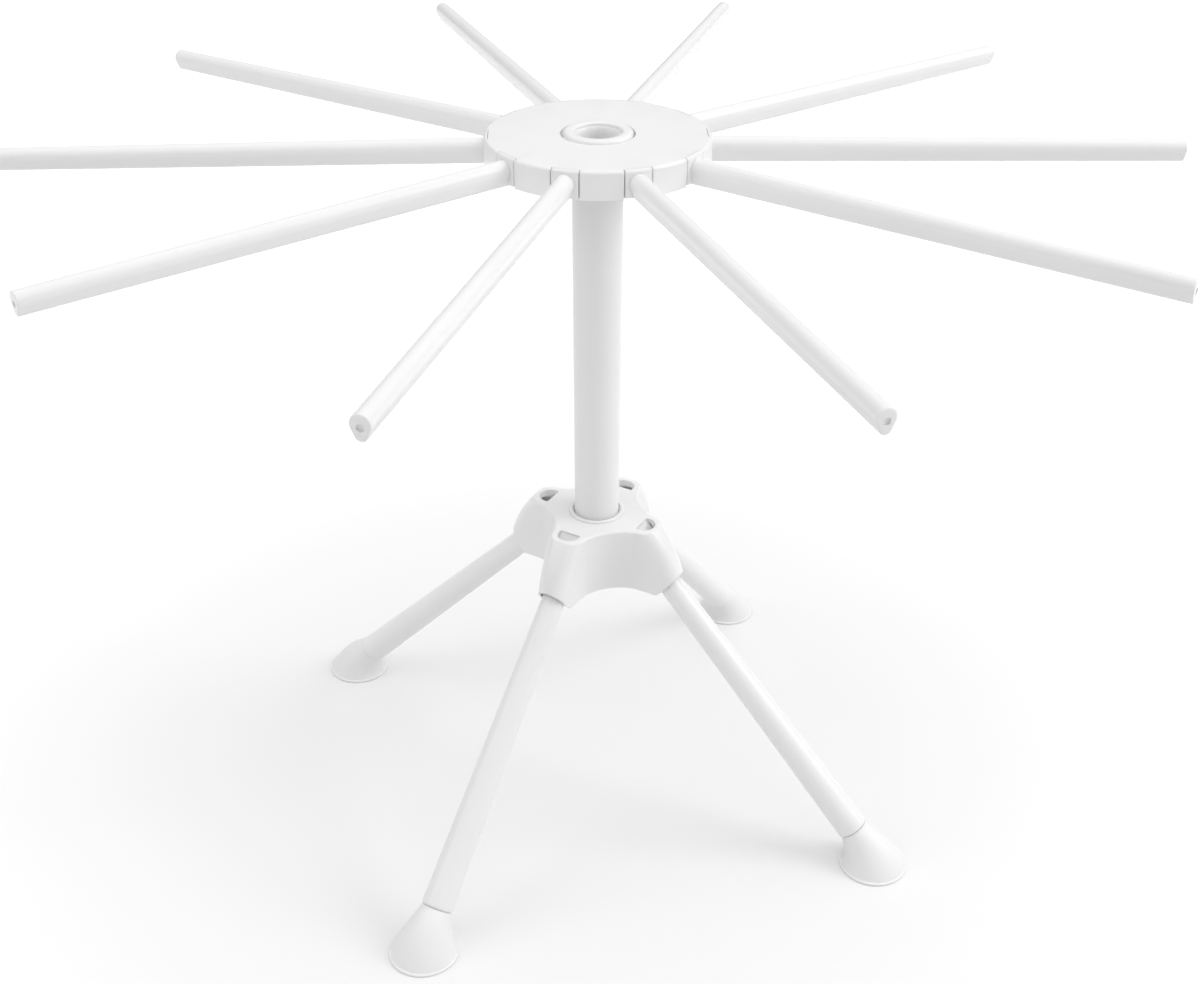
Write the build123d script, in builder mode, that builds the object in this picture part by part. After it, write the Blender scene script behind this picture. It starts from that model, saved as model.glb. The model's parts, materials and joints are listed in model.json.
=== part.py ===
from build123d import *
import os
from math import acos, atan2, cos, radians, sin, sqrt, tan

# A free-standing rack with ten drying arms. The arms are hinged in a flat round hub on top of a
# slim column, and four splayed legs are hinged in a lobed base under it. The heights are worked
# out from the floor upwards: feet, legs, base, column, hub. All lengths are in millimetres, the
# origin lies on the floor under the column's axis, and the first arm points along +X.

# Layout: how many spokes there are, and where the first one points (degrees).
arm_count = 10
arm_azimuth = 0.0
leg_count = 4
leg_azimuth = 58.0

# Fits and running clearances.
seat_fit = 0.02
pin_play = 0.05
slip = 0.25
stop_gap = 0.3
hood_play = 0.45
pin_chamfer = 0.25
overrun = 1.0

# Arms: one moulding each, with a hinge block and a rod deeper than it is wide. The block has a
# raised head that fills a notch in the hub's rim, flush with the hub all round.
tip_radius = 210.0
arm_droop = 0.65
rod_sink = 0.25
rod_depth_root = 9.2
rod_depth_tip = 7.9
rod_crown_root = 3.3
rod_crown_tip = 3.05
rod_keel_root = 2.1
rod_keel_tip = 1.9
rod_root_round = 1.5
rod_tip_round = 0.45
rod_overlap = 2.0
rod_root_inset = 0.5
head_length = 1.6
head_gap = 0.15
block_corner_round = 0.4
dimple_radius = 1.1
dimple_depth = 0.6
arm_pin_inset = 6.3
arm_pin_radius = 1.25
arm_pin_depth = 5.7
block_back_gap = 0.8

# Hub: closed on top and open below, with a slot for each arm and a notch over it in the rim.
hub_radius = 40.3
hub_height = 10.1
hub_roof = 1.5
hub_edge_round = 1.2
hub_rib = 1.6
hub_rim_wall = 2.2
slot_width = 10.0
panel_round = 0.5
pocket_round = 0.8
boss_wall = 2.6
well_gap = 0.7

# Column: a slightly tapered tube with a rounded flange on top, which is the collar in the hub.
column_length = 176.4
neck_radius = 9.5
waist_radius = 8.7
plug_radius = 8.6
mouth_radius = 8.4
outlet_radius = 7.4
collar_radius = 12.6
collar_thickness = 3.0
collar_rise = 1.0
collar_round = 1.6
mouth_round = 1.1
snap_height = 1.6
snap_rise = 0.4
snap_shoulder = 0.5

# Base: a shell with a lobe and a sloping hood for each leg, and a socket for the column.
pivot_depth = 15.0
base_height = 27.5
base_wall = 2.0
base_plate = 2.2
base_edge_round = 0.9
lobe_radius = 7.5
lobe_orbit = 20.0
lobe_reach = 27.8
base_waist = 18.2
arch_rise = 1.3
hood_length = 11.7
hood_lean = 1.4
hood_drop = 1.0
hood_crest = 7.5
hood_wall = 0.9
hood_rim_half = 5.3
hood_sag = 1.1
ridge_share = 0.96
socket_depth = 20.0
socket_wall = 2.5
socket_floor = 2.0
mouth_gap = 0.9
mouth_depth = 3.0
lip_width = 1.4
lip_rise = 0.8
lip_round = 0.4
rib_thickness = 1.6
window_inner = 20.4
window_outer = 26.2
window_radius = 4.6
window_round = 0.8
window_depth = 7.5

# Legs: round, thicker towards the floor, hinged at the top in the hoods.
leg_slope = 46.0
leg_length = 138.2
leg_top_radius = 4.5
leg_end_radius = 6.3
leg_end_round = 1.3
leg_pin_orbit = 25.0
leg_pin_radius = 1.5
pin_seat_depth = 1.1

# Feet: bell-shaped, with a spigot in the leg and a thin round rim on the floor.
foot_height = 14.0
foot_offset = 9.5
foot_neck_radius = 5.7
foot_rim_radius = 13.6
foot_rim_thickness = 1.1
foot_skirt_radius = 12.7
foot_belly_radius = 9.3
foot_belly_height = 7.6
foot_belly_offset = 3.6
foot_rim_round = 0.4
spigot_radius = 3.4
spigot_length = 12.0

# Heights above the floor, from the feet upwards.
leg_pin_height = foot_height + leg_length * sin(radians(leg_slope))
base_top = leg_pin_height + pivot_depth
base_bottom = base_top - base_height
column_bottom = base_top - socket_depth
column_top = column_bottom + column_length
hub_top = column_top - collar_rise
hub_bottom = hub_top - hub_height
roof_height = hub_top - hub_roof
arm_pin_height = hub_top - arm_pin_depth
collar_seat = column_top - collar_thickness

# Radii worked out from the fits.
arm_pin_orbit = hub_radius - arm_pin_inset
knuckle_radius = roof_height - arm_pin_height - stop_gap
slot_inner = arm_pin_orbit - knuckle_radius - block_back_gap
hood_inner = leg_top_radius + hood_play
foot_orbit = leg_pin_orbit + leg_length * cos(radians(leg_slope)) + foot_offset
socket_radius = plug_radius + seat_fit


def spoke_plane(azimuth):
    """Upright plane through the column's axis: x is the radius, y is the height."""
    outward = Vector(1, 0, 0).rotate(Axis.Z, azimuth)
    return Plane(origin=(0, 0, 0), x_dir=outward, z_dir=outward.rotate(Axis.Z, -90))


def across(spoke, radius, height, slope, distance):
    """Plane across a line that leaves (radius, height) downwards at the slope: y points up."""
    along = Vector(cos(radians(slope)), -sin(radians(slope)))
    centre = spoke.from_local_coords(Vector(radius, height) + along * distance)
    heading = spoke.from_local_coords(along)
    return Plane(origin=centre, x_dir=spoke.z_dir * -1, z_dir=heading)


def polar(radius, azimuth):
    """Point in plan at a radius and an azimuth in degrees."""
    return Vector(radius * cos(radians(azimuth)), radius * sin(radians(azimuth)))


def hinge_pin(azimuth, orbit, height, radius, half_length):
    """Round pin that lies across the spoke at the given azimuth."""
    with BuildPart() as pin:
        with BuildSketch(spoke_plane(azimuth)):
            with Locations((orbit, height)):
                Circle(radius)
        extrude(amount=half_length, both=True)
        chamfer(pin.edges(), pin_chamfer)
    return pin.part


def save(part, label):
    """Label a finished piece and write it to its own file."""
    part.label = label
    export_step(part, f"parts/{label}.step")


# Column, turned from one profile: flange, neck with a snap bead under the hub, taper and plug.
def make_column():
    snap_top = hub_bottom - seat_fit
    snap_bottom = snap_top - snap_height
    with BuildPart() as column:
        with BuildSketch(Plane.XZ):
            with BuildLine():
                Polyline(
                    (outlet_radius, column_bottom),
                    (plug_radius, column_bottom),
                    (plug_radius, base_top - mouth_depth),
                    (waist_radius, base_top),
                    (neck_radius, snap_bottom),
                    (neck_radius + snap_rise, snap_top - snap_shoulder),
                    (neck_radius + snap_rise, snap_top),
                    (neck_radius, snap_top),
                    (neck_radius, collar_seat),
                    (collar_radius, collar_seat),
                    (collar_radius, column_top),
                    (mouth_radius, column_top),
                    close=True,
                )
            make_face()
        revolve(axis=Axis.Z)
        rims = column.edges().group_by(Axis.Z)[-1].sort_by(SortBy.RADIUS)
        fillet(rims[-1], collar_round)
        rims = column.edges().group_by(Axis.Z)[-1].sort_by(SortBy.RADIUS)
        fillet(rims[0], mouth_round)
    return column.part


# Hub: roof disc, skirt with panels and slots, pockets from below, boss around the column.
def make_hub():
    boss_radius = neck_radius + boss_wall + well_gap + hub_rib
    half_step = 180 / arm_count
    pocket_ends = (slot_inner, hub_radius - hub_rim_wall)

    def half_pocket(radius):
        """Half width between the slot walls on both sides of a panel."""
        return radius * tan(radians(half_step)) - (slot_width / 2 + hub_rib) / cos(radians(half_step))

    def on_panel_corner(edge):
        """True for the upright edges at the outer corners of the panels."""
        middle = edge.center()
        return sqrt(middle.X**2 + middle.Y**2) > hub_radius - hub_rim_wall / 2

    with BuildPart() as hub:
        with BuildSketch(Plane.XY.offset(hub_bottom)):
            Circle(hub_radius)
        extrude(amount=hub_height)
        fillet(hub.edges().group_by(Axis.Z)[-1], hub_edge_round)
        with BuildSketch(Plane.XY.offset(hub_bottom)):
            with PolarLocations(hub_radius, arm_count, start_angle=arm_azimuth):
                Rectangle(2 * (hub_radius - slot_inner), slot_width)
        extrude(amount=hub_height - hub_roof, mode=Mode.SUBTRACT)
        with BuildSketch(Plane.XY.offset(hub_bottom)):
            with PolarLocations(hub_radius, arm_count, start_angle=arm_azimuth):
                Rectangle(2 * (head_length + head_gap), slot_width)
        extrude(amount=hub_height, mode=Mode.SUBTRACT)
        uprights = hub.edges().filter_by(Axis.Z)
        fillet(uprights.filter_by(on_panel_corner), panel_round)
        with BuildSketch(Plane.XY.offset(hub_bottom)) as pockets:
            with PolarLocations(0, arm_count, start_angle=arm_azimuth + half_step):
                Polygon(
                    (pocket_ends[0], -half_pocket(pocket_ends[0])),
                    (pocket_ends[1], -half_pocket(pocket_ends[1])),
                    (pocket_ends[1], half_pocket(pocket_ends[1])),
                    (pocket_ends[0], half_pocket(pocket_ends[0])),
                    align=None,
                )
            fillet(pockets.vertices(), pocket_round)
        extrude(amount=hub_height - hub_roof, mode=Mode.SUBTRACT)
        with BuildSketch(Plane.XY.offset(hub_bottom)):
            Circle(slot_inner - hub_rib)
            Circle(boss_radius, mode=Mode.SUBTRACT)
        extrude(amount=hub_height - hub_roof, mode=Mode.SUBTRACT)
        with Locations((0, 0, hub_top)):
            CounterBoreHole(
                radius=neck_radius + seat_fit,
                counter_bore_radius=collar_radius + well_gap,
                counter_bore_depth=collar_thickness - collar_rise,
            )
        for index in range(arm_count):
            with BuildSketch(spoke_plane(arm_azimuth + index * 360 / arm_count)):
                with Locations((arm_pin_orbit, arm_pin_height)):
                    Circle(arm_pin_radius + seat_fit)
                    Rectangle(
                        2 * (arm_pin_radius + seat_fit),
                        arm_pin_height - hub_bottom + overrun,
                        align=(Align.CENTER, Align.MAX),
                    )
            extrude(amount=slot_width / 2 + hub_rib + overrun, both=True, mode=Mode.SUBTRACT)
    return hub.part


# Hinge block of an arm, cut to the same round rim as the hub.
def make_block(azimuth):
    spoke = spoke_plane(azimuth)
    block_end = hub_radius - arm_pin_orbit
    with BuildPart() as rim:
        with BuildSketch(Plane.XY.offset(hub_bottom)):
            Circle(hub_radius)
        extrude(amount=hub_height)
        fillet(rim.edges().group_by(Axis.Z)[-1], hub_edge_round)
    with BuildPart() as block:
        with BuildSketch(spoke):
            with Locations((arm_pin_orbit, arm_pin_height)):
                Circle(knuckle_radius)
                Rectangle(block_end, 2 * knuckle_radius, align=(Align.MIN, Align.CENTER))
                with Locations((block_end, 0)):
                    Rectangle(head_length, arm_pin_depth, align=(Align.MAX, Align.MIN))
        extrude(amount=slot_width / 2 - slip, both=True)
        add(rim.part, mode=Mode.INTERSECT)
        outward = Axis(spoke.origin, spoke.x_dir)
        uprights = block.edges().filter_by(Axis.Z).sort_by(outward)
        fillet(uprights[-2:], block_corner_round)
    return block.part


# Arm: a rod with a round top and narrower keel, on its hinge block.
def make_arm(azimuth):
    spoke = spoke_plane(azimuth)
    rod_height = arm_pin_height - rod_sink
    rod_root = hub_radius - rod_root_inset - arm_pin_orbit
    rod_length = (tip_radius - arm_pin_orbit) / cos(radians(arm_droop))
    stations = (
        (rod_root - rod_overlap, rod_depth_root, rod_crown_root, rod_keel_root),
        (rod_length, rod_depth_tip, rod_crown_tip, rod_keel_tip),
    )
    with BuildPart() as arm:
        for distance, depth, crown, keel in stations:
            with BuildSketch(across(spoke, arm_pin_orbit, rod_height, arm_droop, distance)) as section:
                with Locations((0, depth / 2 - crown)):
                    Circle(crown)
                with Locations((0, keel - depth / 2)):
                    Circle(keel)
                make_hull(section.edges())
        loft()
        outward = Axis(spoke.origin, spoke.x_dir)
        ends = arm.faces().filter_by(GeomType.PLANE).sort_by(outward)
        fillet(ends[0].edges(), rod_root_round)
        ends = arm.faces().filter_by(GeomType.PLANE).sort_by(outward)
        fillet(ends[-1].edges(), rod_tip_round)
        with BuildSketch(across(spoke, arm_pin_orbit, rod_height, arm_droop, rod_length)):
            Circle(dimple_radius)
        extrude(amount=-dimple_depth, mode=Mode.SUBTRACT)
        add(make_block(azimuth))
        with BuildSketch(spoke):
            with Locations((arm_pin_orbit, arm_pin_height)):
                Circle(arm_pin_radius + pin_play)
        extrude(amount=slot_width, both=True, mode=Mode.SUBTRACT)
    return arm.part


# Outline of the base in plan: round lobes joined by hollow curves that touch them.
def base_outline():
    quarter = 180 / leg_count
    chord = 2 * lobe_orbit * cos(radians(quarter))
    hollow_radius = (lobe_orbit**2 + base_waist**2 - lobe_radius**2 - chord * base_waist) / (
        chord + 2 * lobe_radius - 2 * base_waist
    )
    with BuildLine() as outline:
        for index in range(leg_count):
            azimuth = leg_azimuth + index * 360 / leg_count
            lobe = polar(lobe_orbit, azimuth)
            before = polar(base_waist + hollow_radius, azimuth - quarter)
            after = polar(base_waist + hollow_radius, azimuth + quarter)
            following = polar(lobe_orbit, azimuth + 2 * quarter)
            touch_before = lobe + (before - lobe).normalized() * lobe_radius
            touch_after = lobe + (after - lobe).normalized() * lobe_radius
            touch_next = following + (after - following).normalized() * lobe_radius
            ThreePointArc(touch_before, polar(lobe_orbit + lobe_radius, azimuth), touch_after)
            ThreePointArc(touch_after, polar(base_waist, azimuth + quarter), touch_next)
    return outline.line


# Sloping hood over the top of a leg, narrower towards its rim, with flanks that touch the lobe.
# The inset and the extra length make the space inside it.
def make_hood(azimuth, root_half, rim_half, crest, inset, extra):
    spoke = spoke_plane(azimuth)
    slope = radians(leg_slope)
    along = Vector(cos(slope), -sin(slope))
    upward = Vector(sin(slope), cos(slope))
    pivot = Vector(leg_pin_orbit, leg_pin_height)
    rim_top = pivot + along * (hood_length + extra) + upward * crest
    rim_low = pivot + along * (hood_length + hood_lean + extra) - upward * (hood_drop + extra)
    ridge_top = Vector(lobe_reach - inset, base_top - inset)
    reach = Vector(rim_top.X - lobe_orbit, rim_half)
    turn = atan2(reach.Y, reach.X) + acos(root_half / reach.length)
    touch = Vector(root_half * cos(turn), root_half * sin(turn))
    flank_end = reach + (reach - touch).normalized() * overrun
    with BuildPart() as hood:
        with BuildSketch(spoke):
            with BuildLine():
                SagittaArc(rim_top, ridge_top, -hood_sag)
                Polyline(
                    ridge_top,
                    (lobe_orbit - lobe_radius, base_top - inset),
                    (lobe_orbit - lobe_radius, base_bottom - extra),
                    (rim_low.X - (rim_low.Y - base_bottom + extra), base_bottom - extra),
                    rim_low,
                    rim_top,
                )
            make_face()
        extrude(amount=root_half + overrun, both=True)
        below = Plane(origin=(0, 0, base_bottom - base_height), x_dir=spoke.x_dir, z_dir=(0, 0, 1))
        with BuildSketch(below):
            with Locations((lobe_orbit, 0)):
                Polygon(
                    (-lobe_radius - overrun, -root_half),
                    (touch.X, -touch.Y),
                    (flank_end.X, -flank_end.Y),
                    (flank_end.X, flank_end.Y),
                    (touch.X, touch.Y),
                    (-lobe_radius - overrun, root_half),
                    align=None,
                )
        extrude(amount=3 * base_height, mode=Mode.INTERSECT)
        ridge = hood.faces().filter_by(GeomType.CYLINDER)[0]
        fillet(ridge.edges().filter_by(GeomType.LINE, reverse=True), rim_half * ridge_share)
    return hood.part


# Base shell with its hoods, windows, pin seats, socket and ribs.
def make_base():
    leg_step = 360 / leg_count
    azimuths = [leg_azimuth + index * leg_step for index in range(leg_count)]
    hoods = [make_hood(azimuth, lobe_radius, hood_rim_half, hood_crest, 0, 0) for azimuth in azimuths]
    inner_crest = hood_crest - hood_wall
    hollows = [
        make_hood(azimuth, hood_inner, hood_inner, inner_crest, base_plate, overrun)
        for azimuth in azimuths
    ]
    socket_outer = socket_radius + socket_wall
    socket_length = socket_depth + socket_floor
    mouth_width = waist_radius + mouth_gap
    arch_radius = (base_waist**2 + arch_rise**2) / (2 * arch_rise)
    seat_radius = leg_pin_radius + seat_fit
    with BuildPart() as base:
        with BuildSketch(Plane.XY.offset(base_bottom)):
            add(base_outline())
            make_face()
        extrude(amount=base_height)
        add(hoods)
        fillet(base.edges().group_by(Axis.Z)[-1], base_edge_round)
        with BuildSketch(Plane.XY.offset(base_bottom)):
            add(base_outline())
            make_face()
            offset(amount=-base_wall)
        extrude(amount=base_height - base_plate, mode=Mode.SUBTRACT)
        add(hollows, mode=Mode.SUBTRACT)
        with BuildSketch(Plane.XY.offset(base_top - socket_length)):
            Circle(socket_outer)
            with PolarLocations(0, leg_count, start_angle=leg_azimuth + leg_step / 2):
                Rectangle(base_waist - base_wall / 2, rib_thickness, align=(Align.MIN, Align.CENTER))
        extrude(amount=socket_length - base_plate / 2)
        with BuildSketch(Plane.XY.offset(base_top)):
            Circle(mouth_width + lip_width)
        extrude(amount=lip_rise)
        fillet(base.edges().group_by(Axis.Z)[-1], lip_round)
        with Locations((0, 0, base_top + lip_rise)):
            CounterBoreHole(
                radius=socket_radius,
                counter_bore_radius=mouth_width,
                counter_bore_depth=lip_rise + mouth_depth,
                depth=lip_rise + socket_depth,
            )
        with BuildSketch(Plane.XY.offset(base_top)) as windows:
            with PolarLocations(0, leg_count, start_angle=leg_azimuth):
                with Locations((window_outer - window_radius, 0)):
                    Circle(window_radius)
                with Locations((window_inner, 0)):
                    Rectangle(
                        2 * window_radius,
                        2 * window_radius,
                        align=(Align.MAX, Align.CENTER),
                        mode=Mode.SUBTRACT,
                    )
            fillet(windows.vertices(), window_round)
        extrude(amount=-window_depth, mode=Mode.SUBTRACT)
        for azimuth in azimuths:
            with BuildSketch(spoke_plane(azimuth)):
                with Locations((leg_pin_orbit, leg_pin_height)):
                    Circle(seat_radius)
                    Rectangle(
                        2 * seat_radius,
                        leg_pin_height - base_bottom + overrun,
                        align=(Align.CENTER, Align.MAX),
                    )
            extrude(amount=hood_inner + pin_seat_depth, both=True, mode=Mode.SUBTRACT)
            with BuildSketch(spoke_plane(azimuth + leg_step / 2 - 90).offset(-base_waist)):
                with Locations((0, base_bottom + arch_rise - arch_radius)):
                    Circle(arch_radius)
            extrude(amount=base_waist, both=True, mode=Mode.SUBTRACT)
    return base.part


# Leg: a round bar that thickens downwards, with a ball-shaped top on its pin.
def make_leg(azimuth):
    spoke = spoke_plane(azimuth)
    pivot = Vector(leg_pin_orbit, leg_pin_height)
    shank = Plane(
        origin=spoke.from_local_coords(pivot),
        x_dir=across(spoke, leg_pin_orbit, leg_pin_height, leg_slope, 0).z_dir,
        z_dir=spoke.z_dir,
    )
    with BuildPart() as leg:
        with BuildSketch(shank):
            with BuildLine():
                top = CenterArc((0, 0), leg_top_radius, 90, 90)
                Polyline(top @ 1, (leg_length, 0), (leg_length, leg_end_radius), top @ 0)
            make_face()
        revolve(axis=Axis(shank.origin, shank.x_dir))
        ends = leg.edges().filter_by(GeomType.CIRCLE).sort_by(Axis(shank.origin, shank.x_dir))
        fillet(ends[-1], leg_end_round)
        with BuildSketch(across(spoke, leg_pin_orbit, leg_pin_height, leg_slope, leg_length)):
            Circle(spigot_radius + seat_fit)
        extrude(amount=-spigot_length - slip, mode=Mode.SUBTRACT)
        with BuildSketch(spoke):
            with Locations(pivot):
                Circle(leg_pin_radius + pin_play)
        extrude(amount=lobe_radius, both=True, mode=Mode.SUBTRACT)
    return leg.part


# Foot: a bell that leans from the end of the leg onto its round rim, with a spigot in the leg.
def make_foot(azimuth):
    spoke = spoke_plane(azimuth)
    rim_centre = spoke.from_local_coords(Vector(foot_orbit, 0))
    leg_end = across(spoke, leg_pin_orbit, leg_pin_height, leg_slope, leg_length)
    belly_centre = spoke.from_local_coords(Vector(foot_orbit - foot_belly_offset, foot_belly_height))
    belly = Plane(
        origin=belly_centre,
        x_dir=spoke.z_dir * -1,
        z_dir=leg_end.z_dir + Vector(0, 0, -1),
    )
    floor = Plane(origin=rim_centre, x_dir=spoke.z_dir * -1, z_dir=(0, 0, -1))
    with BuildPart() as foot:
        with BuildSketch(leg_end):
            Circle(foot_neck_radius)
        with BuildSketch(belly):
            Circle(foot_belly_radius)
        with BuildSketch(floor.offset(-foot_rim_thickness)):
            Circle(foot_skirt_radius)
        loft()
        with BuildSketch(floor):
            Circle(foot_rim_radius)
        extrude(amount=-foot_rim_thickness)
        rims = foot.edges().filter_by(GeomType.CIRCLE).sort_by(SortBy.RADIUS)
        fillet(rims[-2:], foot_rim_round)
        with BuildSketch(leg_end):
            Circle(spigot_radius)
        extrude(amount=-spigot_length)
    return foot.part


os.makedirs("parts", exist_ok=True)
save(make_column(), "column")
save(make_hub(), "hub")
for number in range(arm_count):
    azimuth = arm_azimuth + number * 360 / arm_count
    save(make_arm(azimuth), f"arm_{number + 1:02d}")
    pin_half = slot_width / 2 + hub_rib
    save(
        hinge_pin(azimuth, arm_pin_orbit, arm_pin_height, arm_pin_radius, pin_half),
        f"arm_pin_{number + 1:02d}",
    )
save(make_base(), "base")
for number in range(leg_count):
    azimuth = leg_azimuth + number * 360 / leg_count
    pin_half = hood_inner + pin_seat_depth
    save(make_leg(azimuth), f"leg_{number + 1}")
    save(make_foot(azimuth), f"foot_{number + 1}")
    save(
        hinge_pin(azimuth, leg_pin_orbit, leg_pin_height, leg_pin_radius, pin_half),
        f"leg_pin_{number + 1}",
    )
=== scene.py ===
# %% [markdown]
# A drying rack in white moulded plastic, ten arms on a slim column with four splayed legs.
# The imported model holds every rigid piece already, at its real size and on its own hinge.
# So this lesson loads it as a fixed frame and spends its time on the skin: what moulded plastic
# looks like from close by, where the light falls, and the small ledges that fill its gaps.

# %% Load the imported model
import bmesh
import bpy
import json
import math
import numpy as np
from mathutils import Matrix, Vector


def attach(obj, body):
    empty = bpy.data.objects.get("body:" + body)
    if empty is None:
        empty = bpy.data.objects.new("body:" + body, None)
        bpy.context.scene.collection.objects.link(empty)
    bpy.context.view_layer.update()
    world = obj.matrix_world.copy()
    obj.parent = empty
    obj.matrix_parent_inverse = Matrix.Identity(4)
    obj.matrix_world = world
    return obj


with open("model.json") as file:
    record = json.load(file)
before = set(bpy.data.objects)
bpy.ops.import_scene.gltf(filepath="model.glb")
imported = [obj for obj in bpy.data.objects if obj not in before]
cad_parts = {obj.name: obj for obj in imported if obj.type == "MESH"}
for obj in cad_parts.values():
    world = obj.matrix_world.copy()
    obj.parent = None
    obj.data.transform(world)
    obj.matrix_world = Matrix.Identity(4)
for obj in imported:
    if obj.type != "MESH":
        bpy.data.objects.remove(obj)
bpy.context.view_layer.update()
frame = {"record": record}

# %% [markdown]
# Lengths in the scene are metres, but a moulded part is thought of in millimetres. Colours are
# written as the hex values of a paint card, which are sRGB, while a shader wants linear light.
# One number and one function keep both in order.

# %% Millimetres and colours
MM = 0.001
PAPER = "#E6E6E6"
WHITE = "#FFFFFF"


def linear(hex_colour):
    """sRGB hex to linear RGBA: c/12.92 below 0.04045, else ((c + 0.055)/1.055) to the power 2.4."""
    channels = [int(hex_colour[i:i + 2], 16) / 255 for i in (1, 3, 5)]
    light = [c / 12.92 if c <= 0.04045 else ((c + 0.055) / 1.055) ** 2.4 for c in channels]
    return (*light, 1.0)


print("paper in linear light:", [round(c, 3) for c in linear(PAPER)])

# %% [markdown]
# The camera stands in front of the rack and looks down on it at about 31 degrees, near enough
# for the front arms to look clearly larger than the back ones. Its place was solved from the
# ten arm tips, the hub and the feet, so it is written here as plain numbers: where it stands,
# where it heads, how far it tips down, and a hair of roll.

# %% Camera
CAMERA_PLACE = Vector((-0.01867, -0.5422, 0.4629))
CAMERA_HEADING = math.radians(2.11)
CAMERA_PITCH = math.radians(31.02)
CAMERA_ROLL = math.radians(0.27)
SENSOR_WIDTH = 36.0
LENS = 47.61

camera_data = bpy.data.cameras.new("camera")
camera_data.sensor_fit = "HORIZONTAL"
camera_data.sensor_width = SENSOR_WIDTH
camera_data.lens = LENS
camera = bpy.data.objects.new("camera", camera_data)
bpy.context.scene.collection.objects.link(camera)
heading = Matrix.Rotation(-CAMERA_HEADING, 4, "Z")
pitch = Matrix.Rotation(math.pi / 2 - CAMERA_PITCH, 4, "X")
roll = Matrix.Rotation(CAMERA_ROLL, 4, "Z")
camera.matrix_world = Matrix.Translation(CAMERA_PLACE) @ heading @ pitch @ roll
bpy.context.scene.camera = camera
print("camera at", tuple(CAMERA_PLACE), "lens", camera_data.lens)

# %% [markdown]
# A material is a small graph of nodes. Adding one means naming its kind, choosing its settings
# and filling its inputs, either with a number or with a link from another node. One function
# does all three, so that each material below reads as a list of what it is made of.


# %% Adding a node to a material
def add_node(tree, kind, inputs=None, **settings):
    """Add a node of this kind, choose its settings, then fill or link each named input."""
    made = tree.nodes.new(kind)
    for name, value in settings.items():
        setattr(made, name, value)
    for name, value in (inputs or {}).items():
        if isinstance(value, bpy.types.NodeSocket):
            tree.links.new(value, made.inputs[name])
        else:
            made.inputs[name].default_value = value
    return made


def new_material(name):
    """An empty material with only its output node, and its tree."""
    material = bpy.data.materials.new(name)
    material.use_nodes = True
    tree = material.node_tree
    tree.nodes.clear()
    return material, tree, tree.nodes.new("ShaderNodeOutputMaterial")


# %% [markdown]
# The rack stands on a white sweep with no horizon. A floor lit like the rack would come out a
# little grey, so it is given some glow that only the camera, and what mirrors it, can see.
# The glow lifts the lit floor to white away from the rack and leaves the soft shadows under it,
# with no more light on the rack itself. From below the floor is clear, so that the underside of
# the rack can be looked at too.

# %% Floor
FLOOR_SIZE = 6.0
GLOW_STARTS, GLOW_FULL = 0.1, 0.7
GLOW_NEAR, GLOW_FAR = 0.06, 0.5

floor_mesh = bpy.data.meshes.new("floor")
half = FLOOR_SIZE / 2
floor_mesh.from_pydata([(-half, -half, 0), (half, -half, 0), (half, half, 0), (-half, half, 0)],
                       [], [(0, 1, 2, 3)])
floor = bpy.data.objects.new("floor", floor_mesh)
bpy.context.scene.collection.objects.link(floor)

floor_paint, tree, output = new_material("white_paper_sweep")
matt = add_node(tree, "ShaderNodeBsdfDiffuse", {"Color": linear(PAPER)})
rays = add_node(tree, "ShaderNodeLightPath")
seen = add_node(tree, "ShaderNodeMath", {0: rays.outputs["Is Camera Ray"],
                                         1: rays.outputs["Is Glossy Ray"]}, operation="MAXIMUM")
place = add_node(tree, "ShaderNodeTexCoord").outputs["Object"]
away = add_node(tree, "ShaderNodeVectorMath", {0: place}, operation="LENGTH")
lift = add_node(tree, "ShaderNodeMapRange",
                {"Value": away.outputs["Value"], "From Min": GLOW_STARTS, "From Max": GLOW_FULL,
                 "To Min": GLOW_NEAR, "To Max": GLOW_FAR}, interpolation_type="SMOOTHSTEP")
glow = add_node(tree, "ShaderNodeEmission", {"Color": linear(WHITE),
                                             "Strength": lift.outputs["Result"]})
dark = add_node(tree, "ShaderNodeEmission", {"Color": linear("#000000"), "Strength": 0.0})
glow_seen = add_node(tree, "ShaderNodeMixShader", {"Fac": seen.outputs[0], 1: dark.outputs[0],
                                                   2: glow.outputs[0]})
lit = add_node(tree, "ShaderNodeAddShader", {0: matt.outputs[0], 1: glow_seen.outputs[0]})
under = add_node(tree, "ShaderNodeNewGeometry").outputs["Backfacing"]
clear = add_node(tree, "ShaderNodeBsdfTransparent")
one_way = add_node(tree, "ShaderNodeMixShader", {"Fac": under, 1: lit.outputs[0],
                                                 2: clear.outputs[0]})
tree.links.new(one_way.outputs[0], output.inputs["Surface"])
floor_mesh.materials.append(floor_paint)

# %% [markdown]
# Soft studio light. The sky is a large dome that is bright overhead and falls off towards the
# horizon, like a white ceiling that bounces the lamps, so tops are lighter than upright walls.
# Two lamps shape the rest: a key high on the right, which brightens every side that faces
# right, and a weaker fill on the left. Nothing shines from the viewer's side.

# %% World and lamps
SKY_TILT = (0.2, 0.0, 1.0)
HORIZON_LIGHT, CEILING_LIGHT = 0.16, 1.27
KEY_PLACE, KEY_SIZE, KEY_POWER = (1.4, -0.15, 1.1), 0.8, 8.5
FILL_PLACE, FILL_SIZE, FILL_POWER = (-1.5, -0.4, 1.1), 1.2, 6
RACK_MIDDLE = (0.0, 0.0, 0.15)

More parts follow.
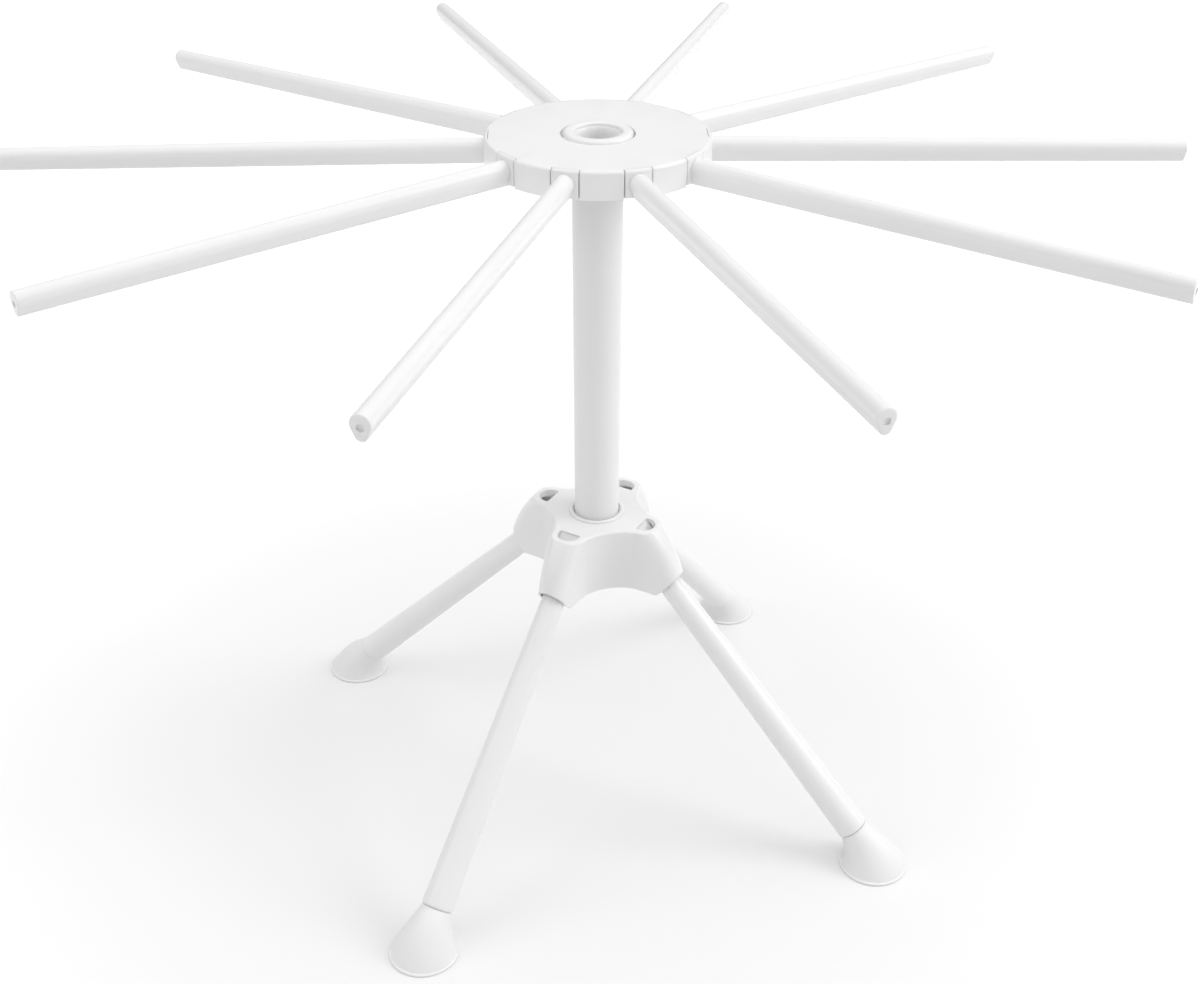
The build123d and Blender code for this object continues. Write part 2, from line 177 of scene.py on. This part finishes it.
world = bpy.data.worlds.new("studio")
bpy.context.scene.world = world
world.use_nodes = True
sky = world.node_tree
sky.nodes.clear()
world_rays = add_node(sky, "ShaderNodeLightPath")
world_seen = add_node(sky, "ShaderNodeMath", {0: world_rays.outputs["Is Camera Ray"],
                                              1: world_rays.outputs["Is Transmission Ray"]},
                      operation="MAXIMUM")
direction = add_node(sky, "ShaderNodeTexCoord").outputs["Generated"]
height = add_node(sky, "ShaderNodeVectorMath", {0: direction, 1: SKY_TILT},
                  operation="DOT_PRODUCT")
ceiling = add_node(sky, "ShaderNodeMapRange",
                   {"Value": height.outputs["Value"], "From Min": 0.0, "From Max": 1.0,
                    "To Min": HORIZON_LIGHT, "To Max": CEILING_LIGHT})
ambient = add_node(sky, "ShaderNodeBackground", {"Color": linear(WHITE),
                                                 "Strength": ceiling.outputs["Result"]})
backdrop = add_node(sky, "ShaderNodeBackground", {"Color": linear(WHITE), "Strength": 1.0})
both = add_node(sky, "ShaderNodeMixShader", {"Fac": world_seen.outputs[0], 1: ambient.outputs[0],
                                             2: backdrop.outputs[0]})
add_node(sky, "ShaderNodeOutputWorld", {"Surface": both.outputs[0]})


def add_lamp(name, place, size, power):
    """A square area lamp at a place, facing the middle of the rack."""
    lamp_data = bpy.data.lights.new(name, "AREA")
    lamp_data.shape = "SQUARE"
    lamp_data.size = size
    lamp_data.energy = power
    lamp = bpy.data.objects.new(name, lamp_data)
    aim = (Vector(RACK_MIDDLE) - Vector(place)).to_track_quat("-Z", "Y")
    lamp.matrix_world = Matrix.Translation(place) @ aim.to_matrix().to_4x4()
    bpy.context.scene.collection.objects.link(lamp)
    return lamp


lamps = [add_lamp("key_lamp", KEY_PLACE, KEY_SIZE, KEY_POWER),
         add_lamp("fill_lamp", FILL_PLACE, FILL_SIZE, FILL_POWER)]
print("lamps:", {lamp.name: lamp.data.energy for lamp in lamps})

# %% [markdown]
# The white of the rack is polystyrene or a like thermoplastic, injection moulded with its pigment in
# it. Nothing is painted, so the colour goes right through and only varies a little where the
# melt cooled at different speeds. The skin copies a finely polished mould: a satin gloss with a
# very shallow orange peel a few millimetres across, and a finer grain inside that. Light enters
# it for about a millimetre and leaves again, which softens the shadows in its gaps.

# %% White moulded plastic
FLOW_SIZE = 30
PEEL_DEPTH, GRAIN_DEPTH = 0.02, 0.006
EDGE_ROUND, SCATTER_DEPTH = 0.3, 1.2
DULLER, SHINIER = 0.05, 0.04
POLYSTYRENE_IOR = 1.53


def moulded_plastic(name, colour, shade, roughness, peel_mm, grain_mm):
    """Satin thermoplastic: a pigment that hardly varies, under a skin with peel and fine grain."""
    material, tree, output = new_material(name)
    place = add_node(tree, "ShaderNodeTexCoord").outputs["Object"]
    flow = add_node(tree, "ShaderNodeTexNoise",
                    {"Vector": place, "Scale": 1 / (FLOW_SIZE * MM), "Detail": 2.0, "Roughness": 0.5})
    pigment = add_node(tree, "ShaderNodeMix", {"Factor": flow.outputs["Fac"], "A": linear(shade),
                                               "B": linear(colour)}, data_type="RGBA")
    peel = add_node(tree, "ShaderNodeTexNoise",
                    {"Vector": place, "Scale": 1 / (peel_mm * MM), "Detail": 1.0, "Roughness": 0.4})
    grain = add_node(tree, "ShaderNodeTexNoise",
                     {"Vector": place, "Scale": 1 / (grain_mm * MM), "Detail": 3.0, "Roughness": 0.6})
    gloss = add_node(tree, "ShaderNodeMapRange",
                     {"Value": grain.outputs["Fac"], "From Min": 0.3, "From Max": 0.7,
                      "To Min": roughness - SHINIER, "To Max": roughness + DULLER})
    edges = add_node(tree, "ShaderNodeBevel", {"Radius": EDGE_ROUND * MM}, samples=4)
    waves = add_node(tree, "ShaderNodeBump", {"Strength": 0.1, "Distance": PEEL_DEPTH * MM,
                                              "Height": peel.outputs["Fac"],
                                              "Normal": edges.outputs["Normal"]})
    tooth = add_node(tree, "ShaderNodeBump", {"Strength": 0.12, "Distance": GRAIN_DEPTH * MM,
                                              "Height": grain.outputs["Fac"],
                                              "Normal": waves.outputs["Normal"]})
    plastic = add_node(tree, "ShaderNodeBsdfPrincipled",
                       {"Base Color": pigment.outputs["Result"], "Roughness": gloss.outputs["Result"],
                        "IOR": POLYSTYRENE_IOR, "Normal": tooth.outputs["Normal"],
                        "Subsurface Weight": 0.3, "Subsurface Radius": (1.0, 1.0, 1.0),
                        "Subsurface Scale": SCATTER_DEPTH * MM})
    tree.links.new(plastic.outputs["BSDF"], output.inputs["Surface"])
    return material


white_plastic = moulded_plastic("moulded_polystyrene_white", "#EFEFEF", "#EBEBEB", 0.32, 2.4, 0.35)
foot_plastic = moulded_plastic("matt_moulded_white_feet", "#EEEEEE", "#E9E9E9", 0.5, 3.0, 0.3)

# %% [markdown]
# The hinge pins are cut from drawn steel wire. Drawing and cutting leave fine scratches, which dull
# the metal unevenly. The pins only show from below, in their open seats.

# %% Drawn steel
SCRATCH_SIZE, SCRATCH_DEPTH = 0.4, 0.005

drawn_steel, tree, output = new_material("drawn_steel_wire")
place = add_node(tree, "ShaderNodeTexCoord").outputs["Object"]
streaks = add_node(tree, "ShaderNodeTexNoise",
                   {"Vector": place, "Scale": 1 / (SCRATCH_SIZE * MM), "Detail": 4.0, "Roughness": 0.7})
dulled = add_node(tree, "ShaderNodeMapRange",
                  {"Value": streaks.outputs["Fac"], "To Min": 0.22, "To Max": 0.4})
scratches = add_node(tree, "ShaderNodeBump", {"Strength": 0.3, "Distance": SCRATCH_DEPTH * MM,
                                              "Height": streaks.outputs["Fac"]})
steel = add_node(tree, "ShaderNodeBsdfPrincipled",
                 {"Base Color": linear("#BDBDBB"), "Metallic": 1.0,
                  "Roughness": dulled.outputs["Result"], "Normal": scratches.outputs["Normal"]})
tree.links.new(steel.outputs["BSDF"], output.inputs["Surface"])

# %% [markdown]
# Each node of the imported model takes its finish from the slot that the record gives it. The
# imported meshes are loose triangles, so each gets a small modifier that joins them and shades
# them smooth, except where two faces meet at a real edge.

# %% A modifier that smooths the shading
SAME_PLACE = 0.0005


def smooth_skin(limit_degrees=28.0):
    """Merge points at one place, mark edges sharper than the limit, and shade the rest smooth."""
    group = bpy.data.node_groups.new("smooth_skin", "GeometryNodeTree")
    group.interface.new_socket("Geometry", in_out="INPUT", socket_type="NodeSocketGeometry")
    group.interface.new_socket("Geometry", in_out="OUTPUT", socket_type="NodeSocketGeometry")
    entry = group.nodes.new("NodeGroupInput")
    merged = add_node(group, "GeometryNodeMergeByDistance",
                      {"Geometry": entry.outputs[0], "Distance": SAME_PLACE * MM})
    angle = add_node(group, "GeometryNodeInputMeshEdgeAngle")
    sharp = add_node(group, "FunctionNodeCompare",
                     {0: angle.outputs["Unsigned Angle"], 1: math.radians(limit_degrees)},
                     data_type="FLOAT", operation="GREATER_THAN")
    faces = add_node(group, "GeometryNodeSetShadeSmooth",
                     {"Geometry": merged.outputs["Geometry"], "Shade Smooth": True}, domain="FACE")
    creased = add_node(group, "GeometryNodeSetShadeSmooth",
                       {"Geometry": faces.outputs["Geometry"], "Selection": sharp.outputs["Result"],
                        "Shade Smooth": False}, domain="EDGE")
    add_node(group, "NodeGroupOutput", {0: creased.outputs["Geometry"]})
    return group


smoothing = smooth_skin()
finishes = {"white_plastic": white_plastic, "foot_plastic": foot_plastic, "pin_steel": drawn_steel}

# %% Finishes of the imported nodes
slots = {part["node"]: part["material_slot"] for part in frame["record"]["subparts"]}
for name, slot in slots.items():
    node = bpy.data.objects[name]
    node.data.materials.clear()
    node.data.materials.append(finishes[slot])
    node.modifiers.new("smooth_skin", "NODES").node_group = smoothing
print("finished nodes:", len(slots))

# %% [markdown]
# A window in the top of each lobe shows the leg's hinge. In the photograph its inner side is a
# pale slope, and only the outer part looks dark. A mould's slide, which forms the cheeks of the
# hinge, could leave such a chute. It is built as a thin slab that follows the window's outline,
# which is straight towards the column and round towards the leg.

# %% Placing finished pieces
WELD = 0.001


def place_piece(name, points, faces, finish, body):
    """Mesh from points in metres and quads, turned outwards, with its finish and its body."""
    mesh = bpy.data.meshes.new(name)
    mesh.from_pydata(points.tolist(), [], faces.tolist())
    shell = bmesh.new()
    shell.from_mesh(mesh)
    bmesh.ops.remove_doubles(shell, verts=shell.verts, dist=WELD * MM)
    bmesh.ops.recalc_face_normals(shell, faces=shell.faces)
    shell.to_mesh(mesh)
    shell.free()
    mesh.materials.append(finishes[finish])
    piece = bpy.data.objects.new(name, mesh)
    bpy.context.scene.collection.objects.link(piece)
    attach(piece, body)
    return piece


def loop_quads(rings, around, closed_rings):
    """Quads between neighbouring rings of points, each ring closed on itself."""
    ring, step = np.meshgrid(np.arange(rings if closed_rings else rings - 1), np.arange(around),
                             indexing="ij")
    after, turn = (ring + 1) % rings, (step + 1) % around
    corners = [ring * around + step, ring * around + turn, after * around + turn,
               after * around + step]
    return np.stack(corners, axis=-1).reshape(-1, 4)


# %% Window chutes
LEG_AZIMUTHS = [math.radians(58.0 + 90.0 * i) for i in range(4)]
BASE_TOP = 128.413
WINDOW_INNER, WINDOW_CENTRE, WINDOW_RADIUS = 20.4, 21.6, 4.6
CHUTE_REACH, CHUTE_DROP, CHUTE_WALL = 4.3, 4.6, 1.1
CHUTE_ROOT, CHUTE_SINK, CHUTE_HOLLOW = 0.3, 0.25, 0.5
CHUTE_STEPS, CHUTE_ACROSS = 24, 20


def chute_points(azimuth):
    """Sloping slab: radius runs from the window's inner side outwards by the reach, height falls
    by the drop with a slight hollow, and the width follows the window's outline. Each ring
    goes along the top face and back along the underside."""
    along = np.linspace(0.0, 1.0, CHUTE_STEPS)[:, None]
    side = np.linspace(-1.0, 1.0, CHUTE_ACROSS)[None, :]
    radius = WINDOW_INNER - CHUTE_ROOT + (CHUTE_REACH + CHUTE_ROOT) * along
    beyond = np.maximum(radius - WINDOW_CENTRE, 0.0)
    half = np.sqrt(WINDOW_RADIUS ** 2 - beyond ** 2)
    hollow = CHUTE_HOLLOW * (1 - side ** 2) * np.sin(np.pi * along)
    top = BASE_TOP - CHUTE_SINK - CHUTE_DROP * along ** 0.85 - hollow
    grids = []
    for height, order in ((top, slice(None)), (top - CHUTE_WALL, slice(None, None, -1))):
        x = np.broadcast_to(radius, height.shape)
        y = half * side
        grids.append(np.stack([x, y, height], axis=-1)[:, order])
    rings = np.concatenate(grids, axis=1).reshape(-1, 3) * MM
    east, north = math.cos(azimuth), math.sin(azimuth)
    return rings @ np.array([[east, north, 0], [-north, east, 0], [0, 0, 1]])


def capped(quads, rings, around):
    """The same quads with both end rings closed by strips between opposite points."""
    ends = []
    for first in (0, (rings - 1) * around):
        low = np.arange(around // 2 - 1)
        ends.append(np.stack([first + low, first + low + 1, first + around - 2 - low,
                              first + around - 1 - low], axis=-1))
    return np.concatenate([quads] + ends)


around_chute = 2 * CHUTE_ACROSS
chute_faces = capped(loop_quads(CHUTE_STEPS, around_chute, False), CHUTE_STEPS, around_chute)
for number, azimuth in enumerate(LEG_AZIMUTHS, start=1):
    chute = place_piece(f"window_chute_{number}", chute_points(azimuth), chute_faces,
                        "white_plastic", "frame")
    chute.data.shade_smooth()
print("window chutes:", len(LEG_AZIMUTHS), "faces each:", len(chute.data.polygons))

# %% [markdown]
# The column stands in its socket, and its flange lies in a well in the hub. In the photograph both
# gaps look shallow, and dark only at the left and at the right. What fills them can't be seen. A
# ledge just under the surface, with a short slot at each side, gives that look. The bore looks
# light too, so its mouth gets a funnel that catches light from above. Each of the three is a
# profile turned round the column's axis, and the profile of a ledge sinks at its two slots.

# %% Ledges and funnel around the column
RING_STEPS = 240
SLOT_POWER = 24


def turned_ring(name, profile, slot_depth=0.0):
    """Closed profile of radius and height in millimetres, swept once round the upright axis. The
    points in the upper half of the profile sink by the slot depth within about 20 degrees of the
    x axis, falling off as a steep power of the cosine."""
    profile = np.array(profile, dtype=float)
    angle = np.linspace(0, 2 * np.pi, RING_STEPS, endpoint=False)[:, None]
    radius, height = profile[None, :, 0], profile[None, :, 1]
    upper = height > profile[:, 1].mean()
    sunk = slot_depth * np.abs(np.cos(angle)) ** SLOT_POWER * upper
    points = np.stack([radius * np.cos(angle), radius * np.sin(angle), height - sunk], axis=-1)
    faces = loop_quads(RING_STEPS, len(profile), True)
    ring = place_piece(name, points.reshape(-1, 3) * MM, faces, "white_plastic", "frame")
    ring.data.shade_smooth()
    return ring


def ledge_profile(inner, land, outer, top, drop, waist, foot):
    """Seven points: up the outer side, over a flat land, down a slope and down the inner side."""
    return [(outer, foot), (outer, waist), (outer, top), (land, top), (inner, top - drop),
            (inner, waist), (inner, foot)]


HUB_TOP = 283.813
mouth_profile = ledge_profile(inner=8.82, land=9.2, outer=9.62, top=BASE_TOP + 0.5, drop=0.2,
                              waist=BASE_TOP - 1.0, foot=BASE_TOP - 2.4)
well_profile = ledge_profile(inner=12.72, land=13.0, outer=13.32, top=HUB_TOP - 0.18, drop=0.12,
                             waist=HUB_TOP - 1.7, foot=HUB_TOP - 1.98)
funnel_profile = [(8.6, 0.1), (8.15, -0.25), (7.75, -0.9), (7.45, -2.2), (7.2, -5.0), (7.1, -9.0),
                  (7.15, -11.0), (8.35, -11.0), (8.5, -5.0), (8.6, -0.9)]
funnel_profile = [(radius, HUB_TOP + height) for radius, height in funnel_profile]
mouth_ledge = turned_ring("mouth_ledge", mouth_profile, slot_depth=0.6)
well_ledge = turned_ring("well_ledge", well_profile, slot_depth=1.4)
bore_funnel = turned_ring("bore_funnel", funnel_profile)
print("turned pieces:", mouth_ledge.name, well_ledge.name, bore_funnel.name)

# %% Colour handling
bpy.context.scene.view_settings.view_transform = "Standard"
